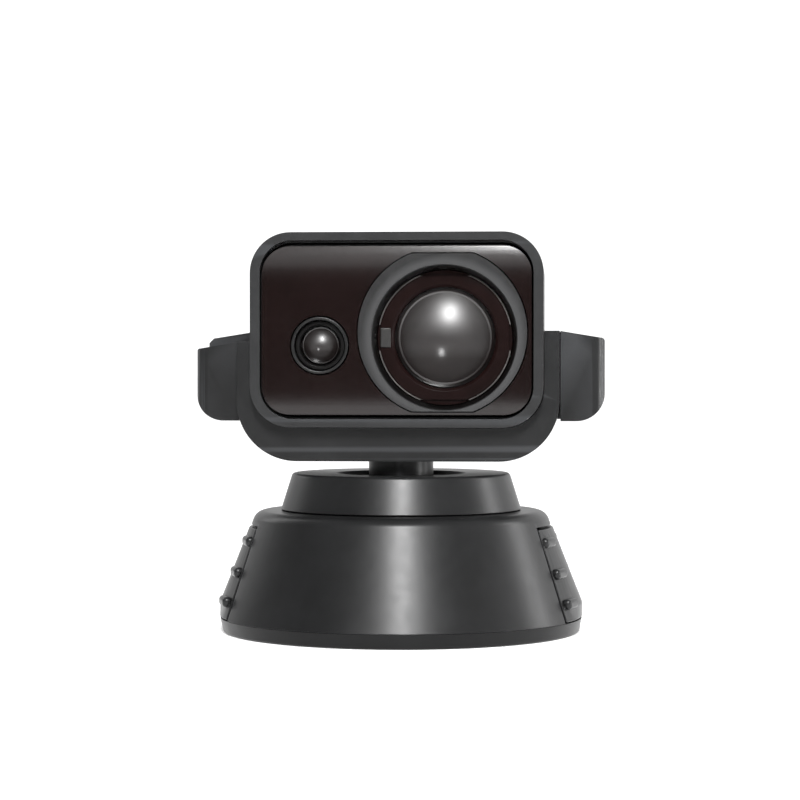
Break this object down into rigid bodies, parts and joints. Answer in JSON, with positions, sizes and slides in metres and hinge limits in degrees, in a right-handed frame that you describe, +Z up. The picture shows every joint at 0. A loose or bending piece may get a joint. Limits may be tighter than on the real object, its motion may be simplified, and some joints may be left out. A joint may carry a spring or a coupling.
{
  "type": "lidar scanner module",
  "caption": "Scanning lidar head with a large receiver lens and a small emitter, turning on a geared stem above a round clip-on base with squeeze latches.",
  "frame": {"origin": "centre of the base's bottom face", "axes": "+Z up, along the pan axis; +X to the right of a viewer who faces the lenses; the lenses look along -Y"},
  "size_m": [0.0508, 0.045, 0.0493],
  "materials": {
    "housing": "satin dark grey moulding",
    "window": "glossy dark brown infrared window",
    "barrel": "satin grey",
    "black_plastic": "matte black",
    "lens": "dark coated lens",
    "steel": "ground steel",
    "board": "green solder mask",
    "nylon": "natural moulded nylon",
    "brass": "machined brass",
    "cable": "black cable jacket"
  },
  "bodies": {
    "base": {"bottom_ring": "housing", "base_shell": "housing", "collar_cover": "housing", "floor_plate": "housing", "pan_motor": "steel", "base_board": "board", "dock_connector": "black_plastic", "slip_ring_stator": "black_plastic", "bearing_outer_race": "steel", "latch_pin_left": "steel", "latch_pin_right": "steel", "latch_spring_left": "steel", "latch_spring_right": "steel", "base_screw_1": "steel", "base_screw_2": "steel", "base_screw_3": "steel", "base_screw_4": "steel", "contact_pin_1": "brass", "contact_pin_2": "brass", "contact_pin_3": "brass", "contact_pin_4": "brass"},
    "head": {"pan_stem": "housing", "pan_wheel": "nylon", "slip_ring_rotor": "brass", "bearing_inner_race": "steel", "cradle": "housing", "lidar_case": "housing", "case_rear_cover": "housing", "front_bezel": "housing", "window_panel": "window", "optics_holder": "black_plastic", "receiver_barrel": "barrel", "receiver_retainer": "black_plastic", "receiver_lens": "lens", "bandpass_filter": "lens", "emitter_barrel": "barrel", "emitter_retainer": "black_plastic", "emitter_lens": "lens", "laser_diode": "steel", "sensor_board": "board", "detector_chip": "black_plastic", "processor_board": "board", "pod_left": "housing", "pod_right": "housing", "rear_housing": "housing", "head_harness": "cable", "housing_screw_left": "steel", "housing_screw_right": "steel", "stem_screw_1": "steel", "stem_screw_2": "steel", "stem_screw_3": "steel", "case_screw_1": "steel", "case_screw_2": "steel", "case_screw_3": "steel", "case_screw_4": "steel"},
    "ball_cage": {"bearing_ball_ring": "steel"},
    "pinion": {"motor_pinion": "brass"},
    "latch_left": {"latch_left": "housing"},
    "latch_right": {"latch_right": "housing"}
  },
  "joints": [
    {"name": "head_pan", "type": "hinge", "parent": "base", "child": "head", "pos_m": [0, 0, 0.0197], "axis": [0, 0, 1], "continuous": true},
    {"name": "pinion_spin", "type": "hinge", "parent": "base", "child": "pinion", "pos_m": [0, 0.01, 0.0112], "axis": [0, 0, 1], "continuous": true},
    {"name": "ball_cage_turn", "type": "hinge", "parent": "base", "child": "ball_cage", "pos_m": [0, 0, 0.0167], "axis": [0, 0, 1], "continuous": true},
    {"name": "latch_left_press", "type": "hinge", "parent": "base", "child": "latch_left", "pos_m": [-0.017, 0, 0.0073], "axis": [0, 1, 0], "range_deg": [0, 6], "stiffness_Nm_per_rad": 0.02, "springref_deg": -2.86, "deforming": ["latch_spring_left"]},
    {"name": "latch_right_press", "type": "hinge", "parent": "base", "child": "latch_right", "pos_m": [0.017, 0, 0.0073], "axis": [0, -1, 0], "range_deg": [0, 6], "stiffness_Nm_per_rad": 0.02, "springref_deg": -2.86, "deforming": ["latch_spring_right"]}
  ],
  "couplings": [
    {"joint": "pinion_spin", "follows": "head_pan", "ratio": -4},
    {"joint": "ball_cage_turn", "follows": "head_pan", "ratio": 0.4426}
  ]
}
